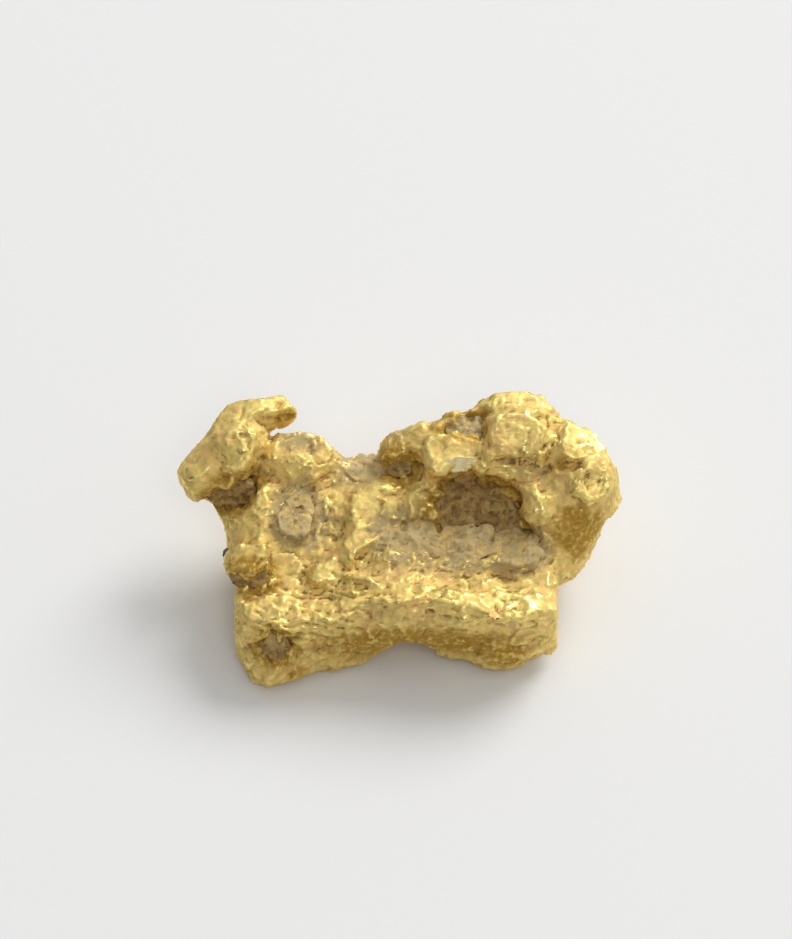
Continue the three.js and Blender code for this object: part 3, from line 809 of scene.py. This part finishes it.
def mineral(node_name, crumb_size, crumb_height, proud, let_out=SEAT_GAP, wander=OUTLINE_WANDER):
    """A crumbly body in the place of a mineral's CAD node, `proud` of the gold round it."""
    obj = working_copy("nugget_" + node_name, node_name)
    even_mesh(obj, MINERAL_MESH_SPACING, 6)
    mesh = obj.data
    level, facing = crown_level(obj)
    uneven = per_point(read_points(mesh), lambda p: noise.noise(p / OUTLINE_SIZE))
    push_out(mesh, let_out * (1.0 + wander * uneven))
    points = read_points(mesh)
    bumps = per_point(points, lambda p: noise.fractal(p / (2.0 * crumb_size), 0.9, 2.0, 3))
    above = (points - level) @ facing - proud - 1.2 * crumb_height * bumps
    write_points(mesh, points - CROWN_PLANED * np.maximum(above, 0.0)[:, None] * facing)
    points = read_points(mesh)
    crumbs = per_point(
        points, lambda p: noise.ridged_multi_fractal(p / crumb_size, 0.9, 2.1, 4, 0.9, 1.6))
    crumbs = (crumbs - np.median(crumbs)) / (1.5 * crumbs.std())
    push_out(mesh, crumb_height * np.clip(crumbs, -1.0, 1.0))
    store(mesh, "crevice", hollowness(mesh, read_points(mesh), 6, 0.015))
    return obj


def crumb_group():
    """Shared effect: crumbly mineral, with pale and dark grains and open pores."""
    group = bpy.data.node_groups.new("mineral crumb", "ShaderNodeTree")
    for name, kind in (("Place", "NodeSocketVector"), ("Grain Size", "NodeSocketFloat")):
        group.interface.new_socket(name, in_out="INPUT", socket_type=kind)
    for name in ("Pale Grains", "Dark Grains", "Gold Flecks", "Relief"):
        group.interface.new_socket(name, in_out="OUTPUT", socket_type="NodeSocketFloat")
    taken = group.nodes.new("NodeGroupInput")
    given = group.nodes.new("NodeGroupOutput")
    scaled = group.nodes.new("ShaderNodeVectorMath")
    scaled.operation = "DIVIDE"
    group.links.new(taken.outputs["Place"], scaled.inputs[0])
    group.links.new(taken.outputs["Grain Size"], scaled.inputs[1])
    cloud = node(group, "ShaderNodeTexNoise", Vector=scaled.outputs[0], Scale=0.3, Detail=5.0)
    finer = node(group, "ShaderNodeTexNoise", Vector=scaled.outputs[0], Scale=0.9, Detail=3.0)
    grains = node(group, "ShaderNodeTexVoronoi", Vector=scaled.outputs[0], Scale=1.0)
    parts = group.nodes.new("ShaderNodeSeparateColor")
    group.links.new(grains.outputs["Color"], parts.inputs[0])
    group.links.new(stretch(group, cloud.outputs["Fac"], 0.46, 0.66), given.inputs["Pale Grains"])
    group.links.new(stretch(group, finer.outputs["Fac"], 0.5, 0.7), given.inputs["Dark Grains"])
    flecks = stretch(group, finer.outputs["Fac"], 0.4, 0.55)
    flecks = sums(group, "MULTIPLY", stretch(group, parts.outputs[0], 0.6, 0.7), flecks)
    group.links.new(flecks, given.inputs["Gold Flecks"])
    round_grains = stretch(group, grains.outputs["Distance"], 0.0, 0.8, 1.0, 0.0)
    relief = sums(group, "MULTIPLY", round_grains, cloud.outputs["Fac"])
    group.links.new(relief, given.inputs["Relief"])
    return group


mineral_crumb = crumb_group()
FLECK_GOLD = (0.78, 0.57, 0.20)


def crumbly_material(name, body, pale, dark, grain_size, roughness, flecked):
    """A dull, crumbly mineral in three tones, `flecked` with gold."""
    material, tree, surface = blank_material(name)
    crumb = tree.nodes.new("ShaderNodeGroup")
    crumb.node_tree = mineral_crumb
    tree.links.new(place_in_mm(tree), crumb.inputs["Place"])
    crumb.inputs["Grain Size"].default_value = grain_size
    pale_share = sums(tree, "MAXIMUM", crumb.outputs["Pale Grains"], attribute(tree, "bleached"))
    colour = tint(tree, pale_share, body, pale)
    colour = tint(tree, crumb.outputs["Dark Grains"], colour, dark)
    shade = sums(tree, "MULTIPLY", stretch(tree, attribute(tree, "crevice"), 0.45, 0.95), 0.75)
    colour = tint(tree, shade, colour, dark)
    flecks = sums(tree, "MULTIPLY", crumb.outputs["Gold Flecks"], flecked)
    tree.links.new(tint(tree, flecks, colour, FLECK_GOLD), surface.inputs["Base Color"])
    tree.links.new(sums(tree, "MULTIPLY", flecks, 0.5), surface.inputs["Metallic"])
    surface.inputs["Roughness"].default_value = roughness
    surface.inputs["Specular IOR Level"].default_value = 0.3
    bump = node(tree, "ShaderNodeBump", Strength=0.6, Distance=0.02 * MM, Height=crumb.outputs["Relief"])
    tree.links.new(bump.outputs["Normal"], surface.inputs["Normal"])
    return material


dark_ironstone = crumbly_material(
    "dark ironstone", (0.36, 0.22, 0.07), (0.50, 0.35, 0.13), (0.20, 0.11, 0.03), 0.08, 0.75, 0.3)
grey_ironstone = crumbly_material(
    "grey ironstone", (0.50, 0.38, 0.18), (0.62, 0.50, 0.28), (0.26, 0.17, 0.06), 0.06, 0.7, 0.6)

IRONSTONES = (
    # node, size and height of its crumbs, how proud it stands, what it is let out by, material, slot
    ("ironstone_main_pit", 0.4, 0.05, -0.05, 0.12, dark_ironstone, "dark_ironstone"),
    ("ironstone_upper_hollow", 0.2, 0.03, 0.0, SEAT_GAP, grey_ironstone, "grey_ironstone"),
    ("ironstone_pocket", 0.2, 0.025, -0.06, 0.05, dark_ironstone, "dark_ironstone"),
    # The piece under the horn is partly painted shade: a dark body in the horn's shadowed underside.
    ("ironstone_under_horn", 0.2, 0.025, -0.05, 0.05, dark_ironstone, "dark_ironstone"),
    ("ironstone_left_gap", 0.2, 0.025, -0.1, 0.05, dark_ironstone, "dark_ironstone"),
    ("ironstone_foot_pit", 0.2, 0.025, -0.06, 0.05, dark_ironstone, "dark_ironstone"),
)
for stone_node, size, height, proud, let_out, stone, slot in IRONSTONES:
    finish_piece(mineral(stone_node, size, height, proud, let_out), stone, stone_node)

# ---------------------------------------------------------------- packed clay
# Fine grey-green and beige silt, dried hard. It fills the groove behind the ledge, and coats the
# saddle and the neck's left flank, level with the gold round it.

SADDLE_BLEACH = 0.8  # the clay on the saddle lies in the open, and has dried paler
packed_clay = crumbly_material(
    "packed clay", (0.50, 0.38, 0.17), (0.62, 0.48, 0.24), (0.34, 0.24, 0.09), 0.08, 0.85, 0.8)
CLAY_CRUMB_SIZE = 0.36
CLAY_CRUMB_HEIGHT = 0.03
CLAY_LET_OUT = 0.11
CLAYS = (
    # node, how proud it stands, how far its outline wanders, how bleached it is
    ("clay_groove_left", 0.03, OUTLINE_WANDER, 0.0),
    ("clay_groove_middle", 0.03, OUTLINE_WANDER, 0.0),
    ("clay_groove_right", 0.0, OUTLINE_WANDER, 0.0),
    ("clay_saddle", 0.01, OUTLINE_WANDER, SADDLE_BLEACH),
    ("clay_left_flank", 0.0, 0.4, 0.0),
)
for clay_node, proud, wander, bleached in CLAYS:
    clay = mineral(clay_node, CLAY_CRUMB_SIZE, CLAY_CRUMB_HEIGHT, proud, CLAY_LET_OUT, wander)
    store(clay.data, "bleached", np.full(len(clay.data.vertices), bleached))
    finish_piece(clay, packed_clay, clay_node)

# ---------------------------------------------------------------- quartz on the lit block
# A chip of pale, half-clear vein quartz that the gold grew round. It has no cleavage, so it broke
# into a few curved faces.

QUARTZ_PALE = (1.0, 0.88, 0.52)
QUARTZ_STAINED = (0.92, 0.72, 0.32)
QUARTZ_CLEAR = 0.05


def quartz_material():
    """Pale quartz, stained yellow by iron, with a waxy shine."""
    material, tree, surface = blank_material("vein quartz")
    place = place_in_mm(tree)
    stained = stretch(tree, speckle(tree, place, 0.12), 0.45, 0.7)
    tree.links.new(tint(tree, stained, QUARTZ_PALE, QUARTZ_STAINED), surface.inputs["Base Color"])
    surface.inputs["Roughness"].default_value = 0.28
    surface.inputs["Transmission Weight"].default_value = QUARTZ_CLEAR
    surface.inputs["IOR"].default_value = 1.54
    flaws = speckle(tree, place, 0.05, 2.0, 3.0)
    bump = node(tree, "ShaderNodeBump", Strength=0.4, Distance=0.01 * MM, Height=flaws)
    tree.links.new(bump.outputs["Normal"], surface.inputs["Normal"])
    return material


quartz = mineral("quartz_on_block", 0.3, 0.015, 0.0, 0.035)
finish_piece(quartz, quartz_material(), "quartz_on_block")

# ---------------------------------------------------------------- the black sand grain
# One grain of magnetite from the stream's black sand, an eight-sided crystal with worn corners,
# jammed into the left flank.

GRAIN_WEAR = 0.45  # 0 is a sharp crystal, 1 is the rounded CAD grain
BLACK_IRON = (0.12, 0.10, 0.08)
RUSTY_IRON = (0.24, 0.16, 0.09)


def magnetite_material():
    """Black iron oxide, rusty in spots."""
    material, tree, surface = blank_material("magnetite")
    place = place_in_mm(tree)
    rusty = stretch(tree, speckle(tree, place, 0.07), 0.5, 0.75)
    tree.links.new(tint(tree, rusty, BLACK_IRON, RUSTY_IRON), surface.inputs["Base Color"])
    tree.links.new(stretch(tree, rusty, 0.0, 1.0, 0.6, 0.85), surface.inputs["Roughness"])
    pits = speckle(tree, place, 0.03, 2.0, 5.0)
    bump = node(tree, "ShaderNodeBump", Strength=0.4, Distance=0.008 * MM, Height=pits)
    tree.links.new(bump.outputs["Normal"], surface.inputs["Normal"])
    return material


def eight_sided(obj):
    """Pulls a rounded grain part of the way to an eight-sided crystal."""
    points = read_points(obj.data)
    middle = points.mean(axis=0)
    out = points - middle
    share = np.abs(out / np.abs(out).max(axis=0))
    eight = 1.0 / np.maximum(share.sum(axis=1), 1e-6)
    write_points(obj.data, middle + out * ((1 - GRAIN_WEAR) * eight + GRAIN_WEAR)[:, None])
    return obj


sand_grain = eight_sided(mineral("black_sand_grain", 0.2, 0.006, 0.04, 0.04))
finish_piece(sand_grain, magnetite_material(), "black_sand_grain")
bpy.data.objects.remove(gold_solid)

# ---------------------------------------------------------------- floor, light and camera
# A plain pale floor. A large soft light stands high on the right and behind, a weaker one in front,
# and the room is brighter on the light's side. A long lens looks down from the front.

FLOOR_SIZE = 0.6
PAPER = (0.80, 0.80, 0.795, 1)
half = FLOOR_SIZE / 2
corners = [(-half, -half, 0), (half, -half, 0), (half, half, 0), (-half, half, 0)]
floor_mesh = bpy.data.meshes.new("floor")
floor_mesh.from_pydata(corners, [], [(0, 1, 2, 3)])
floor = bpy.data.objects.new("floor", floor_mesh)
bpy.context.scene.collection.objects.link(floor)
paper, paper_tree, paper_surface = blank_material("pale floor")
paper_surface.inputs["Base Color"].default_value = PAPER
paper_surface.inputs["Roughness"].default_value = 0.95
floor_mesh.materials.append(paper)

SKY_BRIGHT = (1.0, 1.0, 1.0)
SKY_DIM = (0.1, 0.1, 0.102)
SKY_BRIGHT_SIDE = (0.38, 0.38, 0.84)
SKY_STRENGTH = 0.585
world = bpy.data.worlds.new("soft room")
bpy.context.scene.world = world
world.use_nodes = True
room = world.node_tree
towards = room.nodes.new("ShaderNodeTexCoord")
lit_side = room.nodes.new("ShaderNodeVectorMath")
lit_side.operation = "DOT_PRODUCT"
room.links.new(towards.outputs["Generated"], lit_side.inputs[0])
lit_side.inputs[1].default_value = SKY_BRIGHT_SIDE
brightness = stretch(room, lit_side.outputs["Value"], -0.4, 0.9)
room.links.new(tint(room, brightness, SKY_DIM, SKY_BRIGHT), room.nodes["Background"].inputs["Color"])
room.nodes["Background"].inputs["Strength"].default_value = SKY_STRENGTH

LIGHTS = (
    # name, place, width, power in watts
    ("window", (0.17, 0.20, 0.22), 0.2, 0.86),
    ("room", (0.03, -0.22, 0.28), 0.16, 0.22),
)
for light_name, place, width, power in LIGHTS:
    light = bpy.data.lights.new(light_name, "AREA")
    light.shape = "DISK"
    light.size = width
    light.energy = power
    lamp = bpy.data.objects.new(light_name, light)
    bpy.context.scene.collection.objects.link(lamp)
    lamp.location = place
    lamp.rotation_euler = (-Vector(place)).to_track_quat("-Z", "Y").to_euler()

bpy.context.scene.view_settings.view_transform = "Standard"

CAMERA_ELEVATION = math.radians(50)
CAMERA_LENS = 180.0
SENSOR = 36.0
FRAME_HEIGHT = 15.02 * MM
AIM = Vector((-0.04 * MM, 1.49 * MM, 1.2 * MM))
camera_data = bpy.data.cameras.new("camera")
camera_data.lens = CAMERA_LENS
camera_data.sensor_width = SENSOR
camera_data.clip_start = 0.001
camera_data.clip_end = 10.0
camera = bpy.data.objects.new("camera", camera_data)
bpy.context.scene.collection.objects.link(camera)
reach = FRAME_HEIGHT * CAMERA_LENS / SENSOR
camera.location = AIM + reach * Vector((0, -math.cos(CAMERA_ELEVATION), math.sin(CAMERA_ELEVATION)))
camera.rotation_euler = (math.pi / 2 - CAMERA_ELEVATION, 0, 0)
bpy.context.scene.camera = camera
